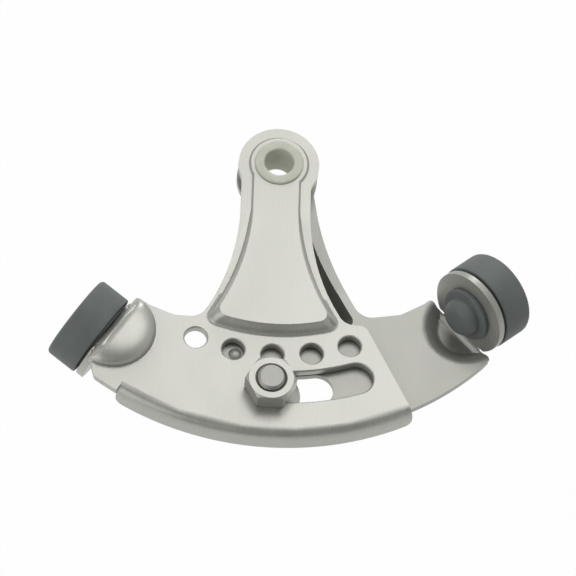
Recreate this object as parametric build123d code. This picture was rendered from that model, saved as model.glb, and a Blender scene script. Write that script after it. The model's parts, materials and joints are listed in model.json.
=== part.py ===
from build123d import *
import os
from math import atan2, cos, degrees, pi, radians, sin, sqrt, tan

# Adjustable hinge pin door stop: two pressed steel arms that turn about one hinge pin,
# clamped to each other by a bolt in two arc slots, each with a rubber pad at its tip.
#
# Frame: the pin's axis is Z, the side with the nut is up (+Z), the neck of the upper
# arm runs down -Y from the eye, and Z = 0 is midway between the two plates.
# Angles of the plates are counted about the pin from the neck, positive to +X.
# Sizes are millimetres and degrees.

# Sheet and the space between the two plates
sheet = 1.8
plate_gap = 0.5
bend_inner = 0.8
bend_step = 18.0

# Eye and neck. The half widths are shares of the eye's radius.
eye_radius = 9.07
neck_left_share = 0.908
neck_right_share = 0.81
lower_neck_share = 0.835
neck_straight = 10.9
flare_left_radius = 52.3
flare_right_radius = 49.4
lower_flare_radius = 72.0
shoulder_rise = 2.05
ramp_start = 33.0
ramp_end = 12.0
eye_corner = 3.0
neck_corner = 4.2

# Raised panel of the neck
panel_rise = 2.55
panel_rim = 1.2
panel_foot_radius = 42.5
panel_corner = 2.0
panel_draft = 24.0
panel_wall = 1.3
panel_round = 0.8

# Sector plate
top_edge = 38.8
right_edge_angle = 27.9
plate_radius = 65.8
plate_corner = 2.6
plate_turn_angle = -35.5
plate_top_corner_x = -22.0
plate_lap = 2.0
tip_corner = 1.0

# Flange along the lower edge of the upper arm, which passes round the lower arm's plate
flange_clearance = 0.15
flange_depth = 5.5
flange_left_angle = -30.4
flange_corner = 1.8

# Index holes, detent pip and the two arc slots, counted in from the plate's edge
slot_to_edge = 10.4
holes_to_slot = 8.05
hole_count = 5
hole_pitch = 10.63
hole_diameter = 5.0
pip_diameter = 2.9
pip_clearance = 0.1
pip_angle = 20.3
pip_steps = 3
slot_width = 7.5
slot_first_angle = -0.3
slot_last_angle = 19.9

# Bumper end: where its open mouth lies, which way it looks and how far it leans
mouth_x = -34.77
mouth_y = -43.73
mouth_half_width = 9.8
mouth_angle = 146.6
tab_lean = 11.2
dome_rise = 2.65
dome_radius = 9.3
dome_top_radius = 6.6
dome_top_round = 3.0
dome_foot_round = 1.4
dome_offset = 1.0
tab_radius = 9.8
tab_chord = 11.3
tab_stand = 1.6
tab_reach = 8.4
tab_bend_inner = 2.0
tab_lap = 2.5
tab_hole_clearance = 0.15

# Rubber pad with its moulded stem
pad_radius = 10.0
pad_thickness = 7.5
pad_round = 0.9
pad_back_radius = 8.4
pad_back_step = 0.5
stem_radius = 2.6
head_flange_radius = 6.3
head_flange_thickness = 1.2
head_radius = 4.4
head_height = 3.2
head_round_share = 0.75
round_steps = 3

# Bush that lines both eyes
bore_diameter = 6.6
bush_wall = 1.0
bush_flange_radius = 5.5
bush_flange_thickness = 0.6
bush_flange_round = 0.45
bush_chamfer = 0.45
bush_clearance = 0.06

# Clamp bolt and nut
bolt_diameter = 6.0
bolt_neck_square = 6.0
bolt_neck_corner = 3.3
bolt_head_radius = 7.0
bolt_head_height = 2.8
bolt_seat_gap = 0.1
bolt_offset = 0.3
bolt_end_above_nut = 1.0
bolt_end_chamfer = 0.7
nut_across_flats = 10.0
nut_thickness = 4.8
nut_face_share = 0.96
nut_chamfer_angle = 30.0
nut_countersink_radius = 3.6
thread_clearance = 0.05

# Setting shown: how far the lower arm stands turned past the upper one
rest_angle = 10.3

# Sizes that follow from the ones above
neck_left = (eye_radius * neck_left_share, flare_left_radius)
neck_right = (eye_radius * neck_right_share, flare_right_radius)
lower_neck = (eye_radius * lower_neck_share, lower_flare_radius)
flange_radius = plate_radius + flange_clearance + sheet
slot_ring = plate_radius - slot_to_edge
hole_ring = slot_ring - holes_to_slot
plate_low = plate_gap / 2
plate_high = plate_low + sheet
panel_high = plate_high + panel_rise
dome_high = plate_high + dome_rise
far = 200.0

# Directions of the bumper end, in the plane of the arm
mouth = Vector(mouth_x, mouth_y)
axis_way = Vector(cos(radians(mouth_angle)), sin(radians(mouth_angle)))
side_way = Vector(-axis_way.Y, axis_way.X)


def polar(radius, angle):
    """A point at a radius from the pin and an angle from the neck."""
    return Vector(radius * sin(radians(angle)), -radius * cos(radians(angle)))


def bumper_point(along, across):
    """A point counted along the pad's axis and across it, from the middle of the mouth."""
    return mouth + axis_way * along + side_way * across


def arc_points(centre, radius, first, last, steps):
    """Points along an arc of a profile, with angles from the profile's first axis."""
    turns = [radians(first + (last - first) * k / steps) for k in range(steps + 1)]
    return [(centre[0] + radius * cos(t), centre[1] + radius * sin(t)) for t in turns]


def soft_face(corners):
    """A profile through corners (x, y, rounding), each rounding stepped along its arc."""
    points = []
    for number, (x, y, rounding) in enumerate(corners):
        corner = Vector(x, y)
        if rounding == 0:
            points.append((x, y))
            continue
        before = (Vector(*corners[number - 1][:2]) - corner).normalized()
        after = (Vector(*corners[(number + 1) % len(corners)][:2]) - corner).normalized()
        half = radians(before.get_angle(after)) / 2
        middle = corner + (before + after).normalized() * (rounding / sin(half))
        first = corner + before * (rounding / tan(half)) - middle
        last = corner + after * (rounding / tan(half)) - middle
        sweep = pi - 2 * half
        steps = max(2, round(degrees(sweep) / bend_step))
        for step in range(steps + 1):
            turn = sweep * step / steps
            way = (first * sin(sweep - turn) + last * sin(turn)) * (1 / sin(sweep))
            points.append((middle.X + way.X, middle.Y + way.Y))
    return Polygon(*points, align=None)


def flared(side, drop):
    """Half width of a neck a given drop below its straight part."""
    half_width, flare = side
    return half_width + flare - sqrt(flare**2 - drop**2)


def waisted_face(eye, left, right, end):
    """An eye disc on a neck whose straight sides flare out on an arc each, to y = -end."""
    drop = end - neck_straight
    edges = [
        Line((-left[0], 0), (right[0], 0)),
        Line((-flared(left, drop), -end), (flared(right, drop), -end)),
    ]
    for way, side in ((-1, left), (1, right)):
        top = (way * side[0], -neck_straight)
        middle = (way * flared(side, drop / 2), -neck_straight - drop / 2)
        foot = (way * flared(side, drop), -end)
        edges.append(Line((way * side[0], 0), top))
        edges.append(ThreePointArc(top, middle, foot))
    return make_face(edges) + Circle(eye)


def near(vertices, point, count=1):
    """The vertices that lie nearest to a point."""
    target = Vector(point)
    return sorted(vertices, key=lambda v: (Vector(v.X, v.Y) - target).length)[:count]


def sector_face(outer_radius):
    """The plate below the neck, out to the mouth of the bumper end."""
    right_top = Vector(top_edge * tan(radians(right_edge_angle)), -top_edge)
    lower_tip = bumper_point(0, mouth_half_width)
    upper_tip = bumper_point(0, -mouth_half_width)
    end_angle = plate_turn_angle
    shoulder = Vector(plate_top_corner_x, -top_edge)
    rise = bumper_point(-plate_lap, -mouth_half_width)
    edges = [
        Line((shoulder.X, shoulder.Y), (right_top.X, right_top.Y)),
        Line((right_top.X, right_top.Y), polar(outer_radius, right_edge_angle)),
        ThreePointArc(
            polar(outer_radius, right_edge_angle),
            polar(outer_radius, 0),
            polar(outer_radius, end_angle),
        ),
        Line(polar(outer_radius, end_angle), lower_tip),
        Line(lower_tip, upper_tip),
        Line(upper_tip, rise),
        Line(rise, (shoulder.X, shoulder.Y)),
    ]
    return make_face(edges)


def arm_outline(outer_radius, left, right):
    """Outline of an arm, with its inside and outside corners rounded."""
    outline = waisted_face(eye_radius, left, right, top_edge + plate_lap)
    outline = outline + sector_face(outer_radius)
    drop = top_edge - neck_straight
    right_top = (top_edge * tan(radians(right_edge_angle)), -top_edge)
    ledge = right_top[0] - flared(right, drop)
    share = min(1, ledge / (1.2 * (neck_corner + plate_corner) * 0.6))
    for way, side, radius in ((-1, left, neck_corner), (1, right, neck_corner * share)):
        foot = (way * flared(side, drop), -top_edge)
        outline = fillet(near(outline.vertices(), foot), radius)
        waist = (way * side[0], -sqrt(eye_radius**2 - side[0] ** 2))
        outline = fillet(near(outline.vertices(), waist), eye_corner)
    outline = fillet(near(outline.vertices(), right_top), plate_corner * share)
    for across in (-mouth_half_width, mouth_half_width):
        tip = bumper_point(0, across)
        outline = fillet(near(outline.vertices(), (tip.X, tip.Y)), tip_corner)
    return outline


def sheet_profile(thickness):
    """Side view of the blank, carried across it: flat plate, then a ramp up to the eye."""
    points = [
        (-far, plate_low),
        (-ramp_start, plate_low),
        (-ramp_end, plate_low + shoulder_rise),
        (far, plate_low + shoulder_rise),
        (far, plate_low + shoulder_rise + thickness),
        (-ramp_end, plate_low + shoulder_rise + thickness),
        (-ramp_start, plate_low + thickness),
        (-far, plate_low + thickness),
    ]
    side = Plane(origin=(0, 0, 0), x_dir=(0, 1, 0), z_dir=(1, 0, 0))
    return extrude(side * Polygon(*points, align=None), amount=far, both=True)


def panel_face(inset, left, right):
    """Foot of the raised panel, drawn in by an inset."""
    draw = panel_rim + inset
    inner_left = (left[0] - draw, left[1] + draw)
    inner_right = (right[0] - draw, right[1] + draw)
    face = waisted_face(eye_radius - draw, inner_left, inner_right, panel_foot_radius + plate_lap)
    face = face & Circle(panel_foot_radius - inset)
    lowest = face.vertices().sort_by(Axis.Y)[:2]
    return fillet(lowest, panel_corner)


def panel_layer(low, high, wall, extra, sides):
    """The panel's drafted form between two heights, drawn in by a wall and an extra step."""
    slope = tan(radians(panel_draft))
    lower = Pos(0, 0, low) * panel_face(wall + (low - plate_high) * slope, *sides)
    upper = Pos(0, 0, high) * panel_face(wall + (high - plate_high) * slope + extra, *sides)
    return loft([lower, upper])


def arm_blank(outer_radius, left, right):
    """The pressed blank: flat plate, ramped shoulder, raised panel and its hollow."""
    sides = (left, right)
    outline = arm_outline(outer_radius, left, right)
    solid = extrude(outline, amount=far) & sheet_profile(sheet)
    edge = panel_high - panel_round
    panel = panel_layer(plate_low, edge, 0, 0, sides) & sheet_profile(far)
    panel = panel + panel_layer(edge, panel_high, 0, panel_round * 0.5, sides)
    wall = panel_wall / cos(radians(panel_draft))
    hollow = panel_layer(-sheet, panel_high - panel_wall, wall, 0, sides)
    eye_hole = Cylinder(bore_diameter / 2 + bush_wall + bush_clearance, far)
    return solid + panel - hollow - eye_hole


def slot_face(ring, width, first, last):
    """A slot of even width along an arc round the pin, with round ends."""
    inner = ring - width / 2
    outer = ring + width / 2
    middle = (first + last) / 2
    cap = degrees(width / 2 / ring)
    edges = [
        ThreePointArc(polar(outer, first), polar(outer, middle), polar(outer, last)),
        ThreePointArc(polar(outer, last), polar(ring, last + cap), polar(inner, last)),
        ThreePointArc(polar(inner, last), polar(inner, middle), polar(inner, first)),
        ThreePointArc(polar(inner, first), polar(ring, first - cap), polar(outer, first)),
    ]
    return make_face(edges)


def swept_ring(profile, first, last):
    """A profile of radius and height, carried round the pin between two angles."""
    start = polar(1, first)
    radial = Plane(origin=(0, 0, 0), x_dir=start, z_dir=start.cross(Vector(0, 0, 1)))
    return revolve(radial * profile, axis=Axis.Z, revolution_arc=last - first)


def flange():
    """The turned-back lower edge of the upper arm, with its bend and rounded ends."""
    inner = flange_radius - sheet
    bend_start = inner - bend_inner
    foot = plate_high - flange_depth
    corners = [
        (bend_start - sheet, plate_low, 0),
        (inner, plate_low, bend_inner),
        (inner, foot, 0),
        (flange_radius, foot, 0),
        (flange_radius, plate_high, bend_inner + sheet),
        (bend_start - sheet, plate_high, 0),
    ]
    ring = swept_ring(soft_face(corners), flange_left_angle, right_edge_angle)
    lowest = ring.edges().group_by(Axis.Z)[0]
    ends = [edge for edge in lowest if edge.length < 2 * sheet]
    return fillet(ends, flange_corner)


def flange_room():
    """The strip of flat plate that the flange takes the place of."""
    bend_start = flange_radius - sheet - bend_inner
    strip = Polygon(
        (bend_start, 0), (2 * far, 0), (2 * far, far), (bend_start, far), align=None
    )
    return swept_ring(strip, flange_left_angle, 2 * right_edge_angle)


def mouth_side(profile):
    """A profile turned about the pressing's middle and cut off at the mouth."""
    centre = bumper_point(dome_offset, 0)
    turned = revolve(Plane.XZ * profile, axis=Axis.Z)
    behind = Plane(origin=mouth, x_dir=side_way, z_dir=-axis_way)
    half = extrude(behind * Rectangle(far, far), amount=far)
    return (Pos(centre.X, centre.Y, 0) * turned) & half


dome_run = (dome_radius - dome_top_radius) / dome_rise


def dome():
    """Outer form of the bumper end's pressing, rounded at its foot and its top."""
    brim = dome_radius + dome_foot_round
    corners = [
        (0, plate_low, 0),
        (brim, plate_low, 0),
        (brim, plate_high, 0),
        (dome_radius, plate_high, dome_foot_round),
        (dome_top_radius, dome_high, dome_top_round),
        (0, dome_high, 0),
    ]
    return mouth_side(soft_face(corners))


def dome_hollow():
    """Inner form of the pressing, one sheet inside the outer one, with a rounded lip."""
    opening = dome_radius + sheet * (dome_run - sqrt(1 + dome_run**2))
    ceiling = dome_high - sheet
    top = opening - (ceiling - plate_low) * dome_run
    brim = opening + dome_foot_round + sheet
    corners = [
        (0, plate_low - sheet, 0),
        (brim, plate_low - sheet, 0),
        (brim, plate_low, 0),
        (opening, plate_low, dome_foot_round + sheet),
        (top, ceiling, max(dome_top_round - sheet, dome_top_round * 0.2)),
        (0, ceiling, 0),
    ]
    return mouth_side(soft_face(corners))


# The tab: a strap off the top of the pressing, bent back, with a round plate at its end
tab_turn = 90 - tab_lean
tab_drop = tab_reach - tab_bend_inner * tan(radians(tab_turn / 2))
tab_out = Vector(cos(radians(tab_lean)), sin(radians(tab_lean)))
tab_down = Vector(sin(radians(tab_lean)), -cos(radians(tab_lean)))
tab_corner = Vector(tab_stand, dome_high - sheet) - Vector(tab_reach * tab_down.X, 0)
tab_centre = tab_corner + tab_down * tab_reach


def in_space(point, across=0.0):
    """A point of the bumper end's side view (along the axis, height) put in space."""
    flat = bumper_point(point.X, across)
    return Vector(flat.X, flat.Y, point.Y)


def tab_plane(out):
    """The plane across the pad's axis, a given distance out from the tab's inner face."""
    look = axis_way * tab_out.X + Vector(0, 0, tab_out.Y)
    return Plane(origin=in_space(tab_centre + tab_out * out), x_dir=side_way, z_dir=look)


def tab():
    """Strap, bend and round plate that carry the rubber pad."""
    back = Vector(-tab_lap, 0)
    lower = tab_corner + tab_down * (tab_reach - tab_drop + sheet)
    outer_corner = tab_corner + tab_out * sheet
    outer_corner = outer_corner - tab_down * (sheet * (1 - tab_out.Y) / tab_out.X)
    turns = (0, tab_bend_inner, 0, 0, tab_bend_inner + sheet, 0)
    points = [
        back + Vector(0, dome_high - sheet),
        tab_corner,
        lower,
        lower + tab_out * sheet,
        outer_corner,
        back + Vector(0, dome_high),
    ]
    strap = soft_face([(point.X, point.Y, turn) for point, turn in zip(points, turns)])
    side = Plane(origin=mouth, x_dir=axis_way, z_dir=-side_way)
    strap = extrude(side * strap, amount=tab_chord / 2, both=True)
    plate = Circle(tab_radius) - Circle(stem_radius + tab_hole_clearance)
    keep = Rectangle(2 * far, far + tab_drop, align=(Align.CENTER, Align.MIN))
    keep = Pos(0, -far) * keep
    plate = extrude(tab_plane(0) * (plate & keep), amount=sheet)
    return strap + plate


def base_arm(outer_radius, left, right):
    """What both arms share: blank, bumper end and arc slot."""
    room = extrude(arm_outline(outer_radius, left, right), amount=far)
    arm = arm_blank(outer_radius, left, right) + (dome() & room) - dome_hollow() + tab()
    slot = slot_face(slot_ring, slot_width, slot_first_angle, slot_last_angle)
    return arm - extrude(slot, amount=far)


def pip_cap(base_height):
    """A shallow round pip that stands down from a face."""
    height = plate_gap - pip_clearance
    radius = ((pip_diameter / 2) ** 2 + height**2) / (2 * height)
    half = degrees(atan2(pip_diameter / 2, radius - height))
    middle = base_height - height + radius
    rim = arc_points((0, middle), radius, -90, half - 90, pip_steps)
    profile = Polygon((0, base_height), *rim, align=None)
    centre = polar(hole_ring, pip_angle)
    return Pos(centre.X, centre.Y, 0) * revolve(Plane.XZ * profile, axis=Axis.Z)


def upper_arm():
    """Arm on the nut's side, with the row of index holes and the flange."""
    arm = base_arm(flange_radius, neck_left, neck_right) - flange_room() + flange()
    for number in range(hole_count):
        place = polar(hole_ring, (number - hole_count // 2) * hole_pitch)
        arm = arm - Pos(place.X, place.Y, 0) * Cylinder(hole_diameter / 2, far)
    return arm


def lower_arm():
    """Arm on the bolt head's side, a like pressing turned over, with the detent pip."""
    arm = base_arm(plate_radius, lower_neck, lower_neck)
    arm = arm + pip_cap(plate_low) - pip_cap(plate_high)
    turned = Rot(0, 180, 0) * arm
    return Rot(0, 0, rest_angle) * turned


def pad():
    """Rubber pad, turned about its axis, with stem and holding head in one moulding."""
    face = pad_back_step + pad_thickness
    shoulder = -sheet
    collar = shoulder - head_flange_thickness
    head_round = head_height * head_round_share
    bottom = collar - head_height
    rim_middle = (pad_radius - pad_round, face - pad_round)
    head_middle = (head_radius - head_round, bottom + head_round)
    points = [
        (0, face),
        *arc_points(rim_middle, pad_round, 90, 0, round_steps),
        (pad_radius, pad_back_step),
        (pad_back_radius, pad_back_step),
        (pad_back_radius, 0),
        (stem_radius, 0),
        (stem_radius, shoulder),
        (head_flange_radius, shoulder),
        (head_flange_radius, collar),
        (head_radius, collar),
        *arc_points(head_middle, head_round, 0, -90, round_steps),
        (0, bottom),
    ]
    turned = revolve(Plane.XZ * Polygon(*points, align=None), axis=Axis.Z)
    return tab_plane(sheet).location * turned


def hinge_bush():
    """Flanged bush that lines both eyes, for the hinge pin."""
    bore = bore_diameter / 2
    sleeve = bore + bush_wall
    top = panel_high + bush_flange_thickness
    rim_middle = (bush_flange_radius - bush_flange_round, top - bush_flange_round)
    points = [
        (bore, -panel_high + bush_chamfer),
        (bore + bush_chamfer, -panel_high),
        (sleeve, -panel_high),
        (sleeve, panel_high),
        (bush_flange_radius, panel_high),
        *arc_points(rim_middle, bush_flange_round, 0, 90, round_steps),
        (bore + bush_chamfer, top),
        (bore, top - bush_chamfer),
    ]
    return revolve(Plane.XZ * Polygon(*points, align=None), axis=Axis.Z)


# Heights along the clamp bolt, and where its axis stands at rest
head_seat = -plate_high - bolt_seat_gap
nut_seat = plate_high + bolt_seat_gap
nut_top = nut_seat + nut_thickness
bolt_end = nut_top + bolt_end_above_nut
bolt_place = polar(slot_ring + bolt_offset, slot_first_angle)


def clamp_bolt():
    """Round-headed bolt with a square neck that keeps it from turning in the slot."""
    shank = bolt_diameter / 2
    ball = (bolt_head_radius**2 + bolt_head_height**2) / (2 * bolt_head_height)
    half = degrees(atan2(bolt_head_radius, ball - bolt_head_height))
    middle = head_seat - bolt_head_height + ball
    rim = arc_points((0, middle), ball, -90, half - 90, round_steps + 1)
    head = revolve(Plane.XZ * Polygon((0, head_seat), *rim, align=None), axis=Axis.Z)
    up = (Align.CENTER, Align.CENTER, Align.MIN)
    neck_long = -plate_low - head_seat
    neck = Box(bolt_neck_square, bolt_neck_square, neck_long, align=up)
    neck = neck & Cylinder(bolt_neck_corner, neck_long, align=up)
    rod = Cylinder(shank, bolt_end - head_seat, align=up)
    rod = chamfer(rod.edges().sort_by(Axis.Z)[-1], bolt_end_chamfer)
    bolt = head + Pos(0, 0, head_seat) * neck + Pos(0, 0, head_seat) * rod
    return Pos(bolt_place.X, bolt_place.Y, 0) * bolt


def clamp_nut():
    """Hex nut, chamfered at its corners and countersunk at its thread on both faces."""
    corner = nut_across_flats / sqrt(3)
    face = nut_across_flats / 2 * nut_face_share
    drop = (corner - face) * tan(radians(nut_chamfer_angle))
    bore = bolt_diameter / 2 + thread_clearance
    sink = nut_countersink_radius - bore
    points = [
        (bore, sink),
        (nut_countersink_radius, 0),
        (face, 0),
        (corner, drop),
        (corner, nut_thickness - drop),
        (face, nut_thickness),
        (nut_countersink_radius, nut_thickness),
        (bore, nut_thickness - sink),
    ]
    turned = revolve(Plane.XZ * Polygon(*points, align=None), axis=Axis.Z)
    prism = extrude(RegularPolygon(corner, 6), amount=nut_thickness)
    return Pos(bolt_place.X, bolt_place.Y, nut_seat) * (turned & prism)


def turned_over(shape):
    """A piece of the upper arm's end put at the lower arm's end."""
    return Rot(0, 0, rest_angle) * (Rot(0, 180, 0) * shape)


def build():
    """Every piece by its name."""
    upper_pad = pad()
    return {
        "upper_arm": upper_arm(),
        "lower_arm": lower_arm(),
        "upper_bumper": upper_pad,
        "lower_bumper": turned_over(upper_pad),
        "hinge_bush": hinge_bush(),
        "clamp_bolt": clamp_bolt(),
        "clamp_nut": clamp_nut(),
    }


if __name__ == "__main__":
    os.makedirs("parts", exist_ok=True)
    for name, shape in build().items():
        export_step(shape, f"parts/{name}.step")
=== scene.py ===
import json
import math

import bmesh
import bpy
import numpy as np
from mathutils import Matrix, Vector


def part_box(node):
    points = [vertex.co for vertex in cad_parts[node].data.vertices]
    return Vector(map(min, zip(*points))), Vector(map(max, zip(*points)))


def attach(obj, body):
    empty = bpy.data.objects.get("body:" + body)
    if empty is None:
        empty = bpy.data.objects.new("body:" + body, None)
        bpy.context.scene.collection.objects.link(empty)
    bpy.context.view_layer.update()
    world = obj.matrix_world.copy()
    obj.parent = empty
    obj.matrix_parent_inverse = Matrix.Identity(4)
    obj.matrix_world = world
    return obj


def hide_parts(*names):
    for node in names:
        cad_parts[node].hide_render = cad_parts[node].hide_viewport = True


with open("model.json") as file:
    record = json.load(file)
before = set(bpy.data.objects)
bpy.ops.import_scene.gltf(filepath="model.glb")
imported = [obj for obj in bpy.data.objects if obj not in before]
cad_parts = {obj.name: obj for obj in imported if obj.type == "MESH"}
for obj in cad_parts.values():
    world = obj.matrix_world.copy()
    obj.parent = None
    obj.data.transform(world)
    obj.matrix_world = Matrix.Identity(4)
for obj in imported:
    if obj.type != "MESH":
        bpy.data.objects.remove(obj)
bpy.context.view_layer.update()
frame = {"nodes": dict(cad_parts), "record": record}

bl_info = {
    "name": "Hinge pin door stop",
    "version": (1, 0, 0),
    "blender": (4, 5, 0),
    "location": "View3D > Sidebar > Door stop",
    "description": "Finishes the adjustable hinge pin door stop and sets its studio",
    "category": "Object",
}

MM = 0.001
SHEET = 1.8 * MM  # thickness of the pressed arms
PAD_STEP = 0.5 * MM  # height of the low step between a bumper's pad and its tab
POLE = 0.02 * MM  # radius of the small end face of a turned skin
ROUND_COLUMNS = 96  # points round a turned skin


class DoorStopSizes(bpy.types.PropertyGroup):
    """Sizes of the rounded edges, the thread and the moulded pieces."""

    edge_round: bpy.props.FloatProperty(
        name="Sheet edge rounding",
        description="How far the cut edges of the pressed sheet are rounded",
        default=0.4 * MM, unit="LENGTH",
    )
    panel_round: bpy.props.FloatProperty(
        name="Panel rounding", description="Rounding of the raised panel's upper edge",
        default=0.9 * MM, unit="LENGTH",
    )
    foot_round: bpy.props.FloatProperty(
        name="Foot rounding",
        description="Rounding where the panel's flank meets the plate",
        default=0.6 * MM, unit="LENGTH",
    )
    thread_pitch: bpy.props.FloatProperty(
        name="Thread pitch", description="Rise of the bolt's thread in one turn",
        default=1.0 * MM, unit="LENGTH",
    )
    thread_depth: bpy.props.FloatProperty(
        name="Thread depth", description="How deep the bolt's thread is cut",
        default=0.55 * MM, unit="LENGTH",
    )
    thread_start: bpy.props.FloatProperty(
        name="Thread start", description="Height on the bolt where its thread begins",
        default=1.0 * MM, unit="LENGTH",
    )
    pad_radius: bpy.props.FloatProperty(
        name="Pad radius", description="Outer radius of a rubber bumper",
        default=10.0 * MM, unit="LENGTH",
    )
    pad_thickness: bpy.props.FloatProperty(
        name="Pad thickness", description="Thickness of a rubber bumper's pad",
        default=7.5 * MM, unit="LENGTH",
    )
    pad_round: bpy.props.FloatProperty(
        name="Pad rounding", description="Rounding of the pad's outer rim",
        default=0.9 * MM, unit="LENGTH",
    )


class DoorStopFinish(bpy.types.PropertyGroup):
    """Colours and surface values of the finishes."""

    steel_color: bpy.props.FloatVectorProperty(
        name="Steel", description="Colour of the satin nickel plate",
        default=(0.445, 0.446, 0.408), size=3, subtype="COLOR",
    )
    steel_metallic: bpy.props.FloatProperty(
        name="Steel shine",
        description="Share of the plate that reflects as bare metal",
        default=0.6, subtype="FACTOR",
    )
    steel_roughness: bpy.props.FloatProperty(
        name="Steel roughness", description="How dull the plate is",
        default=0.36, subtype="FACTOR",
    )
    brush_strength: bpy.props.FloatProperty(
        name="Brushing", description="Strength of the fine lines in the plate",
        default=0.18, subtype="FACTOR",
    )
    waviness: bpy.props.FloatProperty(
        name="Waviness",
        description="Height of the slow waves that pressing left in the sheet",
        default=0.6 * MM, unit="LENGTH",
    )
    rubber_color: bpy.props.FloatVectorProperty(
        name="Rubber", description="Colour of the bumpers",
        default=(0.125, 0.14, 0.135), size=3, subtype="COLOR",
    )
    nylon_color: bpy.props.FloatVectorProperty(
        name="Nylon", description="Colour of the hinge bush",
        default=(0.56, 0.57, 0.48), size=3, subtype="COLOR",
    )


class DoorStopStage(bpy.types.PropertyGroup):
    """Camera, floor and lamps."""

    camera_azimuth: bpy.props.FloatProperty(
        name="Camera azimuth", description="Turn of the camera round the object",
        default=math.radians(-6.099), unit="ROTATION",
    )
    camera_elevation: bpy.props.FloatProperty(
        name="Camera elevation", description="Height of the camera above the horizon",
        default=math.radians(61.502), unit="ROTATION",
    )
    camera_roll: bpy.props.FloatProperty(
        name="Camera roll", description="Turn of the camera about its line of sight",
        default=math.radians(8.751), unit="ROTATION",
    )
    camera_target: bpy.props.FloatVectorProperty(
        name="Camera target", description="Point in the middle of the view",
        default=(3.823 * MM, -22.746 * MM, -12.059 * MM), size=3, subtype="XYZ",
    )
    camera_distance: bpy.props.FloatProperty(
        name="Camera distance", description="Distance from the target to the camera",
        default=1.6667, unit="LENGTH",
    )
    camera_lens: bpy.props.FloatProperty(
        name="Camera lens", description="Focal length on a 36 mm sensor",
        default=462.254,
    )
    floor_height: bpy.props.FloatProperty(
        name="Floor height",
        description="Height of the floor under the hinge pin's origin",
        default=-0.11, unit="LENGTH",
    )
    key_power: bpy.props.FloatProperty(
        name="Key lamp", description="Power of the large lamp above and behind",
        default=0.40, unit="POWER",
    )
    edge_power: bpy.props.FloatProperty(
        name="Edge lamp", description="Power of the small lamp behind the object",
        default=0.5, unit="POWER",
    )
    fill_power: bpy.props.FloatProperty(
        name="Fill lamp", description="Power of the large lamp at the front left",
        default=0.9, unit="POWER",
    )
    world_strength: bpy.props.FloatProperty(
        name="Surroundings", description="Brightness of the pale room round the object",
        default=0.66, subtype="FACTOR",
    )


def sizes():
    """The sizes set for this scene."""
    return bpy.context.scene.door_stop_sizes


def finishes():
    """The finishes set for this scene."""
    return bpy.context.scene.door_stop_finish


def staging():
    """The camera, floor and lamps set for this scene."""
    return bpy.context.scene.door_stop_stage


def grid_mesh(name, points):
    """A closed skin over a grid of points: rows follow each other, each row is a ring.

    Every cell becomes one face, the ring's last column joins its first, and the first
    and the last row are closed by one face each.
    """
    rows, columns = points.shape[:2]
    index = np.arange(rows * columns).reshape(rows, columns)
    after = np.roll(index, -1, axis=1)
    quads = np.stack([index[:-1], after[:-1], after[1:], index[1:]], axis=-1)
    faces = quads.reshape(-1, 4).tolist()
    faces.append(index[0, ::-1].tolist())
    faces.append(index[-1].tolist())
    mesh = bpy.data.meshes.new(name)
    mesh.from_pydata(points.reshape(-1, 3).tolist(), [], faces)
    mesh.update()
    return mesh


def ring_mesh(name, points):
    """A skin over a grid that closes both ways, as round a bush or a nut with a bore."""
    rows, columns = points.shape[:2]
    index = np.arange(rows * columns).reshape(rows, columns)
    after = np.roll(index, -1, axis=1)
    below = np.roll(index, -1, axis=0)
    corner = np.roll(after, -1, axis=0)
    quads = np.stack([index, after, corner, below], axis=-1)
    mesh = bpy.data.meshes.new(name)
    mesh.from_pydata(points.reshape(-1, 3).tolist(), [], quads.reshape(-1, 4).tolist())
    mesh.update()
    return mesh


def rounded_path(corners, radii, closed=False):
    """A flat path through corners, each rounded by an arc of its own radius.

    At a corner the arc starts and ends at radius times the tangent of half the turn
    from the corner, and its points lie at even angles between the two ends.
    """
    arc_points = 6
    path = []
    count = len(corners)
    points = [np.array(corner, dtype=float) for corner in corners]
    for i in range(count):
        if radii[i] <= 0 or (not closed and i in (0, count - 1)):
            path.append(points[i][None])
            continue
        before = points[i - 1] - points[i]
        after = points[(i + 1) % count] - points[i]
        before = before / np.linalg.norm(before)
        after = after / np.linalg.norm(after)
        half = 0.5 * math.acos(float(np.clip(before @ after, -1, 1)))
        reach = radii[i] / math.tan(half)
        middle = before + after
        middle = middle / np.linalg.norm(middle)
        centre = points[i] + middle * radii[i] / math.sin(half)
        first = points[i] + before * reach - centre
        last = points[i] + after * reach - centre
        sweep = math.pi - 2 * half
        share = np.linspace(0, 1, arc_points)[:, None]
        arc = np.sin((1 - share) * sweep) * first + np.sin(share * sweep) * last
        path.append(centre + arc / math.sin(sweep))
    return np.concatenate(path)


def even_angles(columns):
    """Angles at even steps once round."""
    return np.linspace(0, 2 * math.pi, columns, endpoint=False)


def turned(path):
    """A path of radius and height carried round the axis: x and y are radius times
    cosine and sine of the angle, z is the height."""
    angle = even_angles(ROUND_COLUMNS)
    x = path[:, 0, None] * np.cos(angle)
    y = path[:, 0, None] * np.sin(angle)
    z = np.repeat(path[:, 1, None], ROUND_COLUMNS, axis=1)
    return np.stack([x, y, z], axis=-1)


def placed(points, origin, axis):
    """Points moved so that their z axis runs along an axis from an origin."""
    z = Vector(axis).normalized()
    up = Vector((0, 0, 1))
    x = (up - z * z.dot(up)).normalized()
    y = z.cross(x)
    turn = np.array([x, y, z])
    return points @ turn + np.array(origin)


def piece(name, mesh, material, body, node=None, smooth_angle=35):
    """Puts a mesh in the scene as a finished piece, which may stand for a CAD node."""
    obj = bpy.data.objects.new(name, mesh)
    bpy.context.scene.collection.objects.link(obj)
    obj.data.materials.clear()
    obj.data.materials.append(material)
    soften(obj.data, smooth_angle)
    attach(obj, body)
    if node:
        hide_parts(node)
    return obj


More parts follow.
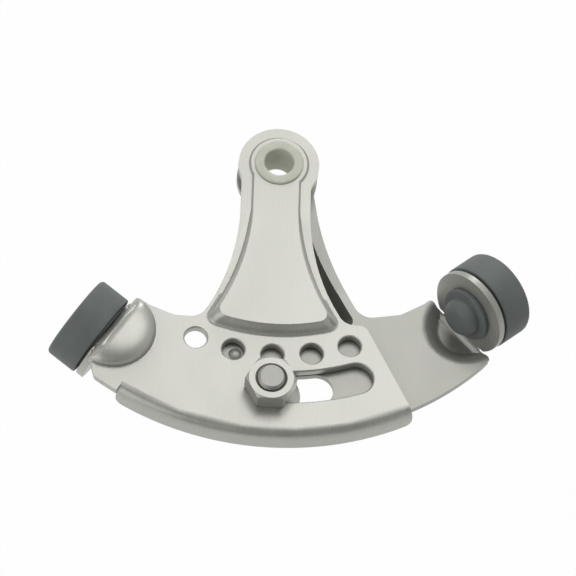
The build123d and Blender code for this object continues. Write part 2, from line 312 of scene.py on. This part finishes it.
def soften(mesh, angle):
    """Shades a mesh smooth, with sharp edges where faces meet at more than an angle."""
    mesh.polygons.foreach_set("use_smooth", np.ones(len(mesh.polygons), dtype=bool))
    work = bmesh.new()
    work.from_mesh(mesh)
    limit = math.radians(angle)
    for edge in work.edges:
        edge.smooth = len(edge.link_faces) == 2 and edge.calc_face_angle(0) < limit
    work.to_mesh(mesh)
    work.free()


class Surface:
    """A new material with its main shader, and the nodes that vary it in place."""

    def __init__(self, name):
        self.material = bpy.data.materials.new(name)
        self.material.use_nodes = True
        self.nodes = self.material.node_tree.nodes
        self.links = self.material.node_tree.links
        self.shader = self.nodes["Principled BSDF"]

    def place(self):
        """The object's own coordinates."""
        return self.nodes.new("ShaderNodeTexCoord").outputs["Object"]

    def stretched(self, place, stretch):
        """Coordinates scaled by their own factor along each axis."""
        mapping = self.nodes.new("ShaderNodeMapping")
        mapping.inputs["Scale"].default_value = stretch
        self.links.new(place, mapping.inputs["Vector"])
        return mapping.outputs["Vector"]

    def noise(self, place, scale, detail, roughness=0.5):
        """Noise over the coordinates, as one value."""
        noise = self.nodes.new("ShaderNodeTexNoise")
        noise.inputs["Scale"].default_value = scale
        noise.inputs["Detail"].default_value = detail
        noise.inputs["Roughness"].default_value = roughness
        self.links.new(place, noise.inputs["Vector"])
        return noise.outputs["Fac"]

    def mixed(self, first, second, share):
        """Two values mixed, with a share of the second."""
        mix = self.nodes.new("ShaderNodeMix")
        mix.inputs[0].default_value = share
        self.links.new(first, mix.inputs[2])
        self.links.new(second, mix.inputs[3])
        return mix.outputs[0]

    def color(self, value, base, low, high):
        """The base colour from a low to a high shade, each a position and a share."""
        tone = self.nodes.new("ShaderNodeValToRGB")
        for element, (position, share) in zip(tone.color_ramp.elements, (low, high)):
            element.position = position
            element.color = (*(base * share), 1)
        self.links.new(value, tone.inputs["Fac"])
        self.links.new(tone.outputs["Color"], self.shader.inputs["Base Color"])

    def roughness(self, value, low, high, start=0.0, end=1.0):
        """Roughness from low to high while the value goes from start to end."""
        rough = self.nodes.new("ShaderNodeMapRange")
        rough.inputs["From Min"].default_value = start
        rough.inputs["From Max"].default_value = end
        rough.inputs["To Min"].default_value = low
        rough.inputs["To Max"].default_value = high
        self.links.new(value, rough.inputs["Value"])
        self.links.new(rough.outputs["Result"], self.shader.inputs["Roughness"])

    def bump(self, value, strength, distance, under=None):
        """A bump by the value's height, over another one where there is one."""
        bump = self.nodes.new("ShaderNodeBump")
        bump.inputs["Strength"].default_value = strength
        bump.inputs["Distance"].default_value = distance
        self.links.new(value, bump.inputs["Height"])
        if under:
            self.links.new(under, bump.inputs["Normal"])
        self.links.new(bump.outputs["Normal"], self.shader.inputs["Normal"])
        return bump.outputs["Normal"]


def plated_steel(name, stretch, roughness_change=0.0, share=1.0):
    """Satin nickel plate: fine brushed lines, faint clouding and slow waves.

    The lines are noise stretched by a factor along each axis. The share darkens the
    colour evenly; on the lower arm this darkening is painted shade.
    """
    look = finishes()
    spread = 0.05
    steel = Surface(name)
    steel.shader.inputs["Metallic"].default_value = look.steel_metallic
    place = steel.place()
    brushed = steel.stretched(place, stretch)
    lines = steel.noise(brushed, scale=1.0, detail=4.0, roughness=0.65)
    clouds = steel.noise(place, scale=140.0, detail=3.0)
    mix = steel.mixed(lines, clouds, share=0.4)
    base = np.array(look.steel_color) * share
    steel.color(mix, base, low=(0.3, 0.9), high=(0.7, 1.08))
    middle = look.steel_roughness + roughness_change
    steel.roughness(mix, low=middle - spread, high=middle + spread, start=0.3, end=0.7)
    waves = steel.noise(place, scale=48.0, detail=1.0)
    swell = steel.bump(waves, strength=1.0, distance=look.waviness)
    steel.bump(lines, strength=look.brush_strength, distance=0.05 * MM, under=swell)
    return steel.material


def moulded_rubber():
    """Grey rubber with a fine grain from the mould and a faint dusty bloom."""
    rubber = Surface("bumper_rubber")
    rubber.shader.inputs["Specular IOR Level"].default_value = 0.4
    place = rubber.place()
    bloom = rubber.noise(place, scale=220.0, detail=5.0)
    base = np.array(finishes().rubber_color)
    rubber.color(bloom, base, low=(0.35, 0.92), high=(0.7, 1.1))
    rubber.roughness(bloom, low=0.5, high=0.66)
    grain = rubber.noise(place, scale=5200.0, detail=2.0)
    rubber.bump(grain, strength=0.18, distance=0.04 * MM)
    return rubber.material


def moulded_nylon():
    """Natural nylon: slightly green, lets in a little light, with faint flow marks."""
    nylon = Surface("bush_nylon")
    nylon.shader.inputs["Subsurface Weight"].default_value = 0.4
    nylon.shader.inputs["Subsurface Radius"].default_value = (1.0, 1.0, 0.8)
    nylon.shader.inputs["Subsurface Scale"].default_value = 1.5 * MM
    flow = nylon.noise(nylon.place(), scale=350.0, detail=4.0)
    base = np.array(finishes().nylon_color)
    nylon.color(flow, base, low=(0.3, 0.93), high=(0.7, 1.05))
    nylon.roughness(flow, low=0.36, high=0.5)
    return nylon.material


def record_mount(name):
    """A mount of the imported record, by its name."""
    mounts = frame["record"]["mounts"]
    return next(mount for mount in mounts if mount["name"] == name)


def bolt_foot():
    """The point of the bolt's axis at height 0, from the nut's joint."""
    joints = frame["record"]["behaviour"]["joints"]
    joint = next(joint for joint in joints if joint["name"] == "nut_turn")
    return np.array(joint["pos_m"], dtype=float)


def dressed_arm(node, body, material):
    """The arm's own solid with its cut edges rounded and its flat faces shaded flat."""
    same_point = 0.002 * MM
    same_plane = math.radians(1.0)
    mesh = frame["nodes"][node].data.copy()
    mesh.name = f"{node}_pressing"
    work = bmesh.new()
    work.from_mesh(mesh)
    bmesh.ops.remove_doubles(work, verts=work.verts, dist=same_point)
    bmesh.ops.dissolve_limit(
        work, angle_limit=same_plane, verts=work.verts, edges=work.edges
    )
    round_edges(work)
    work.to_mesh(mesh)
    work.free()
    arm = piece(mesh.name, mesh, material, body, node, smooth_angle=24)
    even = arm.modifiers.new("even_shading", "WEIGHTED_NORMAL")
    even.keep_sharp = True


def round_edges(work):
    """Rounds the pressing's edges one chain after another.

    A chain is a run of edges of one wanted rounding that turn by less than 50 degrees
    at each vertex, and each chain is narrowed by itself where it has no room.
    """
    largest_turn = math.radians(50)
    chain = work.edges.layers.int.new("chain")
    wanted = {edge: rounding_of(edge) for edge in work.edges}
    widths = []
    for start, width in wanted.items():
        if width == 0 or start[chain] > 0:
            continue
        widths.append(width)
        start[chain] = len(widths)
        open_ends = [start]
        while open_ends:
            edge = open_ends.pop()
            for vert in edge.verts:
                way = vert.co - edge.other_vert(vert).co
                for other in vert.link_edges:
                    if wanted[other] != width or other[chain] > 0:
                        continue
                    turn = way.angle(other.other_vert(vert).co - vert.co, math.pi)
                    if turn < largest_turn:
                        other[chain] = len(widths)
                        open_ends.append(other)
    for number, width in enumerate(widths, start=1):
        edges = [edge for edge in work.edges if edge[chain] == number]
        if edges:
            bmesh.ops.bevel(
                work, geom=edges, offset=width, offset_type="OFFSET", segments=4,
                profile=0.5, affect="EDGES", clamp_overlap=True, loop_slide=True,
            )


def rounding_of(edge):
    """The rounding that an edge should get where there is room for it.

    The panel's upper edge and its foot have their own, and the other outer edges that
    faces meet in at 40 degrees or more have the sheet's. Edges of a face that looks
    towards the gap between the arms, and those of the pip in it, stay sharp.
    """
    least_fold = math.radians(40)
    gap_tilt = -0.5
    plate_face = 2.05 * MM
    panel_face = 4.6 * MM
    near_face, near_level = 0.03 * MM, 0.02 * MM
    pip_top = 0.3 * MM
    bush_reach = 5.5 * MM
    if len(edge.link_faces) != 2 or edge.calc_face_angle(0) < least_fold:
        return 0.0
    side = math.copysign(1, edge.verts[0].co.z)
    first, second = (abs(vert.co.z) for vert in edge.verts)
    to_gap = any(face.normal.z * side < gap_tilt for face in edge.link_faces)
    if to_gap or max(first, second) < pip_top:
        return 0.0
    reach = min(math.hypot(vert.co.x, vert.co.y) for vert in edge.verts)
    level = abs(first - second) < near_level and reach > bush_reach
    if level and edge.is_convex and abs(first - panel_face) < near_face:
        return sizes().panel_round
    if level and not edge.is_convex and abs(first - plate_face) < near_face:
        return sizes().foot_round
    return sizes().edge_round if edge.is_convex else 0.0


class DOORSTOP_OT_arms(bpy.types.Operator):
    """Finishes the two pressed arms."""

    bl_idname = "doorstop.arms"
    bl_label = "Arms"

    def execute(self, context):
        along_neck = (2600.0, 90.0, 400.0)
        outside = plated_steel("satin_nickel", along_neck)
        # The lower arm's steel is a copy with its colour darkened to 0.8: painted shade
        # for the arm that lies lower, under the upper one.
        inside = plated_steel(
            "satin_nickel_painted_shade", along_neck, roughness_change=0.04, share=0.8
        )
        dressed_arm("upper_arm", "upper", outside)
        dressed_arm("lower_arm", "lower", inside)
        swelling("upper", outside, roll_start=-1.6 * MM, roll_reach=3.0 * MM)
        swelling("lower", inside, roll_start=-2.2 * MM, roll_reach=2.4 * MM)
        return {"FINISHED"}


def swelling(end, material, roll_start, roll_reach):
    """The full, rounded back of the pressing that carries a bumper.

    Its points are carried to the pressing's mouth: the first axis runs out to the
    bumper in the plate's plane, the third away from the other arm.
    """
    mount = record_mount(f"{end}_bumper_face")
    axis = np.array(mount["axis"])
    out = np.array([axis[0], axis[1], 0.0])
    out = out / np.linalg.norm(out)
    up = np.array([0.0, 0.0, 1.0 if end == "upper" else -1.0])
    across = np.cross(up, out)
    tab_back = sizes().pad_thickness + PAD_STEP + SHEET
    behind_tab = 1.6 * MM
    mouth = np.array(mount["pos_m"]) - axis * tab_back - out * behind_tab
    mouth[2] = 0.0
    points = swelling_points(roll_start, roll_reach)
    points = mouth + points @ np.array([out, across, up])
    name = f"{end}_pressing_swelling"
    piece(name, grid_mesh(name, points), material, end, smooth_angle=60)


def swelling_points(roll_start, roll_reach):
    """Rings of the swelling: along the bumper's axis, across it, and height.

    The rise is the full height times one less the radius share to a power, all to a
    lesser power, so the crown is gently curved and the foot steep. Towards the bumper
    it rolls down as a quarter of an ellipse, and the rings end at a straight line
    there. The underside lies inside the sheet.
    """
    foot = 2.0 * MM
    rise = 3.15 * MM
    radius = 9.6 * MM
    middle = 1.0 * MM
    hub = -2.5 * MM
    bluntness, steepness = 2.6, 0.36
    end_share = 0.97
    under_foot, under_share = 1.2 * MM, 0.7
    rings = 26
    first_share = 0.02
    parallel = 1e-6
    angle = even_angles(ROUND_COLUMNS)
    away_x, away_y = np.cos(angle), np.sin(angle)
    offset = hub - middle
    half = offset * away_x
    to_circle = -half + np.sqrt(half**2 - offset**2 + radius**2)
    end = roll_start + roll_reach * end_share - hub
    to_line = np.where(away_x > parallel, end / np.maximum(away_x, parallel), 1.0)
    bound = np.minimum(to_circle, to_line)
    share = np.sin(np.linspace(first_share, math.pi / 2, rings))[:, None]
    x = hub + share * bound * away_x
    y = share * bound * away_y
    ratio = np.clip(np.hypot(x - middle, y) / radius, 0, 1)
    crown = np.clip(1 - ratio**bluntness, 0, 1) ** steepness
    rolled = np.clip((x - roll_start) / roll_reach, 0, 1)
    roll = np.sqrt(np.clip(1 - rolled**2, 0, 1))
    top = foot + rise * crown * roll
    under = under_foot + under_share * (top - foot)
    upper_side = np.stack([x, y, top], axis=-1)
    lower_side = np.stack([x, y, under], axis=-1)[::-1]
    return np.concatenate([upper_side, lower_side])


class DOORSTOP_OT_bumpers(bpy.types.Operator):
    """Makes the two rubber bumpers, each turned about its own axis."""

    bl_idname = "doorstop.bumpers"
    bl_label = "Bumpers"

    def execute(self, context):
        rubber = moulded_rubber()
        for end in ("upper", "lower"):
            mount = record_mount(f"{end}_bumper_face")
            points = placed(turned(pad_path()), mount["pos_m"], mount["axis"])
            name = f"{end}_bumper_pad"
            mesh = grid_mesh(name, points)
            piece(name, mesh, rubber, end, f"{end}_bumper")
        return {"FINISHED"}


def pad_path():
    """Half section of a bumper, from the middle of its holding head to the middle of
    its outer face, as radius and height below that face."""
    size = sizes()
    pad_back = -size.pad_thickness
    step_back = pad_back - PAD_STEP
    sheet_back = step_back - SHEET
    rim_back = sheet_back - 1.2 * MM
    head_back = rim_back - 3.2 * MM
    head, rim, stem, step = 4.4 * MM, 6.3 * MM, 2.6 * MM, 8.4 * MM
    corners_and_radii = [
        ((POLE, head_back), 0),
        ((head, head_back), 2.4 * MM),
        ((head, rim_back), 0.1 * MM),
        ((rim, rim_back), 0.35 * MM),
        ((rim, sheet_back), 0.3 * MM),
        ((stem, sheet_back), 0.1 * MM),
        ((stem, step_back), 0.1 * MM),
        ((step, step_back), 0.12 * MM),
        ((step, pad_back), 0.1 * MM),
        ((size.pad_radius, pad_back), 0.35 * MM),
        ((size.pad_radius, 0.0), size.pad_round),
        ((POLE, 0.0), 0),
    ]
    return rounded_path(*zip(*corners_and_radii))


class DOORSTOP_OT_bush(bpy.types.Operator):
    """Makes the flanged hinge bush with its rims rounded."""

    bl_idname = "doorstop.bush"
    bl_label = "Hinge bush"

    def execute(self, context):
        low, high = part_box("hinge_bush")
        bore, sleeve, rim = 3.3 * MM, 4.3 * MM, high.x
        under_flange = high.z - 0.6 * MM
        corners_and_radii = [
            ((bore, low.z), 0.42 * MM),
            ((sleeve, low.z), 0.15 * MM),
            ((sleeve, under_flange), 0.05 * MM),
            ((rim, under_flange), 0.12 * MM),
            ((rim, high.z), 0.45 * MM),
            ((bore, high.z), 0.42 * MM),
        ]
        path = rounded_path(*zip(*corners_and_radii), closed=True)
        name = "hinge_bush_liner"
        mesh = ring_mesh(name, turned(path)[::-1])
        piece(name, mesh, moulded_nylon(), "upper", "hinge_bush")
        return {"FINISHED"}


class DOORSTOP_OT_bolt(bpy.types.Operator):
    """Makes the clamp bolt: domed head, square neck and threaded shank in one skin."""

    bl_idname = "doorstop.bolt"
    bl_label = "Clamp bolt"

    def execute(self, context):
        name = "clamp_bolt_threaded"
        mesh = grid_mesh(name, bolt_points() + bolt_foot())
        all_round = (700.0, 700.0, 700.0)
        steel = plated_steel("bolt_steel", all_round, roughness_change=0.08, share=0.8)
        piece(name, mesh, steel, "clamp", "clamp_bolt", smooth_angle=30)
        return {"FINISHED"}


def bolt_points():
    """The bolt's skin about its own axis, one row of points for each height.

    On the head the radius is that of a ball over the head's width. On the neck it is
    that of a square with its corners cut by a circle. On the thread the radius falls
    from the shank's by the depth times a triangle wave of height over pitch less
    angle over a full turn, with its tips and roots cut flat. It fades in at its start,
    and a cone takes the shank's end.
    """
    size = sizes()
    low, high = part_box("clamp_bolt")
    shank = 3.0 * MM
    neck_corner = 3.3 * MM
    neck_end, shank_start = -0.35 * MM, -0.25 * MM
    seat = -2.15 * MM
    head_radius = 7.0 * MM
    head_height = seat - low.z
    ball = (head_radius**2 + head_height**2) / (2 * head_height)
    end_chamfer = 0.35 * MM
    rows_a_turn = 14
    head_rows, first_swing = 16, 0.02
    crest = 1.25
    angle = even_angles(ROUND_COLUMNS)
    even = np.ones(ROUND_COLUMNS)
    swing = np.linspace(first_swing, math.asin(head_radius / ball), head_rows)
    dome = low.z + ball - ball * np.cos(swing)
    rows = [(dome, ball * np.sin(swing)[:, None] * even)]
    rows.append((np.array([seat]), head_radius * even[None]))
    flat = shank / np.maximum(np.abs(np.cos(angle)), np.abs(np.sin(angle)))
    square = np.minimum(flat, neck_corner)
    neck = np.array([seat, neck_end, shank_start])
    rows.append((neck, np.stack([square, square, shank * even])))
    height = np.append(np.arange(0.0, high.z, size.thread_pitch / rows_a_turn), high.z)
    turn = (height[:, None] / size.thread_pitch - angle / (2 * math.pi)) % 1.0
    wave = 1 - np.abs(2 * turn - 1)
    wave = np.clip(wave * crest - (crest - 1) / 2, 0, 1)
    fade = np.clip((height - size.thread_start) / size.thread_pitch, 0, 1)[:, None]
    radius = shank - size.thread_depth * wave * fade
    chamfer = shank - end_chamfer + (high.z - height)[:, None]
    rows.append((height, np.minimum(radius, chamfer)))
    rows.append((np.array([high.z]), POLE * even[None]))
    z = np.concatenate([row[0] for row in rows])[:, None] * even
    r = np.concatenate([row[1] for row in rows])
    return np.stack([r * np.cos(angle), r * np.sin(angle), z], axis=-1)


class DOORSTOP_OT_nut(bpy.types.Operator):
    """Makes the hex nut with chamfered corners and a chamfered bore."""

    bl_idname = "doorstop.nut"
    bl_label = "Clamp nut"

    def execute(self, context):
        name = "clamp_nut_chamfered"
        mesh = ring_mesh(name, nut_points() + bolt_foot())
        along_axis = (900.0, 900.0, 500.0)
        steel = plated_steel("nut_steel", along_axis)
        piece(name, mesh, steel, "nut", "clamp_nut", smooth_angle=20)
        return {"FINISHED"}


def nut_points():
    """The nut's skin: the section's radius outside is the smaller of the hexagon's,
    which is half the width over the cosine of the angle from the nearest flat, and
    that of a cone at each face; inside it is a bore with a cone at each end."""
    low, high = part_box("clamp_nut")
    half_width = 5.0 * MM
    face_radius = 5.0 * MM
    slope = math.tan(math.radians(30))
    bore, mouth, sink = 3.05 * MM, 3.6 * MM, 0.55 * MM
    columns = 144
    sixth = math.pi / 3
    angle = even_angles(columns)
    flat = (angle + sixth / 2) % sixth - sixth / 2
    hexagon = half_width / np.cos(flat)
    depths = np.array([0, 0.08, 0.2, 0.35, 0.5, 0.7]) * MM
    chamfered = [np.minimum(hexagon, face_radius + depth / slope) for depth in depths]
    rows = list(zip(low.z + depths, chamfered))
    rows += list(zip(high.z - depths, chamfered))[::-1]
    levels = (high.z, high.z - sink, low.z + sink, low.z)
    for level, radius in zip(levels, (mouth, bore, bore, mouth)):
        rows.append((level, np.full(columns, radius)))
    z = np.repeat(np.array([row[0] for row in rows])[:, None], columns, axis=1)
    r = np.stack([row[1] for row in rows])
    spin = angle + sixth / 2
    return np.stack([r * np.cos(spin), r * np.sin(spin), z], axis=-1)


def aim(location, target):
    """The rotation that points an object's -Z axis from a place to a target."""
    return (Vector(target) - Vector(location)).to_track_quat("-Z", "Y").to_euler()


def soft_lamp(name, location, width, power):
    """A square lamp that looks at the middle of the object."""
    middle = (0.0, -0.03, 0.0)
    lamp = bpy.data.lights.new(name, "AREA")
    lamp.shape = "SQUARE"
    lamp.size = width
    lamp.energy = power
    obj = bpy.data.objects.new(name, lamp)
    bpy.context.scene.collection.objects.link(obj)
    obj.location = location
    obj.rotation_euler = aim(location, middle)


def seen_directly(nodes, links, share):
    """A share for rays from the camera, off shiny metal or through something clear."""
    rays = nodes.new("ShaderNodeLightPath")
    total = rays.outputs["Is Camera Ray"]
    for kind in ("Is Glossy Ray", "Is Transmission Ray"):
        most = nodes.new("ShaderNodeMath")
        most.operation = "MAXIMUM"
        links.new(total, most.inputs[0])
        links.new(rays.outputs[kind], most.inputs[1])
        total = most.outputs["Value"]
    part = nodes.new("ShaderNodeMath")
    part.operation = "MULTIPLY"
    part.inputs[1].default_value = share
    links.new(total, part.inputs[0])
    return part.outputs["Value"]


def pale_room():
    """The pale room: an even sky that darkens softly round the place of the camera.

    The tone falls from full to dark with the cosine of the angle between a direction
    and the camera's side of the room.
    """
    world = bpy.data.worlds.new("pale_room")
    world.use_nodes = True
    bpy.context.scene.world = world
    nodes, links = world.node_tree.nodes, world.node_tree.links
    nodes.clear()
    out = nodes.new("ShaderNodeOutputWorld")
    room = nodes.new("ShaderNodeBackground")
    place = nodes.new("ShaderNodeTexCoord")
    side = nodes.new("ShaderNodeVectorMath")
    side.operation = "DOT_PRODUCT"
    camera_side = (-0.1, -0.62, 0.78)
    side.inputs[1].default_value = camera_side
    tone = nodes.new("ShaderNodeValToRGB")
    links.new(place.outputs["Generated"], side.inputs[0])
    links.new(side.outputs["Value"], tone.inputs["Fac"])
    tone.color_ramp.interpolation = "EASE"
    shades = ((0.5, 1), (0.92, 0.28))
    for element, (position, share) in zip(tone.color_ramp.elements, shades):
        element.position = position
        element.color = (share, share, share, 1)
    links.new(tone.outputs["Color"], room.inputs["Color"])
    room.inputs["Strength"].default_value = staging().world_strength
    links.new(room.outputs["Background"], out.inputs["Surface"])


def pale_floor():
    """A plain pale floor: to the camera mostly white, with a trace of the shadow."""
    reach = 3.0
    white_share = 0.97
    z = staging().floor_height
    signs = ((-1, -1), (1, -1), (1, 1), (-1, 1))
    corners = [(across * reach, along * reach, z) for across, along in signs]
    mesh = bpy.data.meshes.new("floor")
    mesh.from_pydata(corners, [], [(0, 1, 2, 3)])
    floor = bpy.data.objects.new("floor", mesh)
    bpy.context.scene.collection.objects.link(floor)
    paper = Surface("floor_paper")
    nodes, links = paper.nodes, paper.links
    paper.shader.inputs["Base Color"].default_value = (0.8, 0.8, 0.8, 1)
    paper.shader.inputs["Roughness"].default_value = 0.9
    out = next(n for n in nodes if n.type == "OUTPUT_MATERIAL")
    glow = nodes.new("ShaderNodeEmission")
    glow.inputs["Strength"].default_value = 1.0
    mix = nodes.new("ShaderNodeMixShader")
    links.new(seen_directly(nodes, links, white_share), mix.inputs["Fac"])
    links.new(paper.shader.outputs["BSDF"], mix.inputs[1])
    links.new(glow.outputs["Emission"], mix.inputs[2])
    links.new(mix.outputs["Shader"], out.inputs["Surface"])
    mesh.materials.append(paper.material)


def photo_camera():
    """The camera: it looks at the target from its place, turned by its roll."""
    stage = staging()
    azimuth, elevation = stage.camera_azimuth, stage.camera_elevation
    back = Vector((
        math.sin(azimuth) * math.cos(elevation),
        -math.cos(azimuth) * math.cos(elevation),
        math.sin(elevation),
    ))
    level = Vector((math.cos(azimuth), math.sin(azimuth), 0))
    up = back.cross(level)
    right = level * math.cos(stage.camera_roll) + up * math.sin(stage.camera_roll)
    up = back.cross(right)
    camera = bpy.data.cameras.new("photo_camera")
    camera.lens = stage.camera_lens
    camera.sensor_width = 36.0
    camera.clip_start = 0.01
    camera.clip_end = 20.0
    obj = bpy.data.objects.new("photo_camera", camera)
    bpy.context.scene.collection.objects.link(obj)
    turn = Matrix((right, up, back)).transposed().to_4x4()
    place = Vector(stage.camera_target) + back * stage.camera_distance
    obj.matrix_world = Matrix.Translation(place) @ turn
    bpy.context.scene.camera = obj


class DOORSTOP_OT_stage(bpy.types.Operator):
    """Sets the floor, the lamps, the surroundings and the camera."""

    bl_idname = "doorstop.stage"
    bl_label = "Stage"

    def execute(self, context):
        stage = staging()
        pale_room()
        pale_floor()
        soft_lamp("key_lamp", (0.06, 0.13, 0.38), width=0.24, power=stage.key_power)
        soft_lamp("fill_lamp", (-0.40, -0.30, 0.30), width=0.5, power=stage.fill_power)
        soft_lamp("edge_lamp", (0.10, 0.48, 0.20), width=0.12, power=stage.edge_power)
        photo_camera()
        bpy.context.scene.view_settings.view_transform = "Standard"
        return {"FINISHED"}


class DOORSTOP_PT_panel(bpy.types.Panel):
    """Lists the steps of the door stop in the sidebar."""

    bl_idname = "DOORSTOP_PT_panel"
    bl_label = "Hinge pin door stop"
    bl_space_type = "VIEW_3D"
    bl_region_type = "UI"
    bl_category = "Door stop"

    def draw(self, context):
        for group in (sizes(), finishes(), staging()):
            for name in group.__annotations__:
                self.layout.prop(group, name)
        for operator in OPERATORS:
            self.layout.operator(operator.bl_idname)


GROUPS = (
    ("door_stop_sizes", DoorStopSizes),
    ("door_stop_finish", DoorStopFinish),
    ("door_stop_stage", DoorStopStage),
)
OPERATORS = (
    DOORSTOP_OT_arms,
    DOORSTOP_OT_bumpers,
    DOORSTOP_OT_bush,
    DOORSTOP_OT_bolt,
    DOORSTOP_OT_nut,
    DOORSTOP_OT_stage,
)


def register():
    """Registers the groups, the operators and the panel."""
    for name, group in GROUPS:
        bpy.utils.register_class(group)
        setattr(bpy.types.Scene, name, bpy.props.PointerProperty(type=group))
    for item in (*OPERATORS, DOORSTOP_PT_panel):
        bpy.utils.register_class(item)


def unregister():
    """Takes everything out again."""
    for item in (DOORSTOP_PT_panel, *OPERATORS):
        bpy.utils.unregister_class(item)
    for name, group in GROUPS:
        delattr(bpy.types.Scene, name)
        bpy.utils.unregister_class(group)


def main():
    """Builds every piece and the stage."""
    register()
    bpy.ops.doorstop.arms()
    bpy.ops.doorstop.bumpers()
    bpy.ops.doorstop.bush()
    bpy.ops.doorstop.bolt()
    bpy.ops.doorstop.nut()
    bpy.ops.doorstop.stage()


if __name__ == "__main__":
    main()
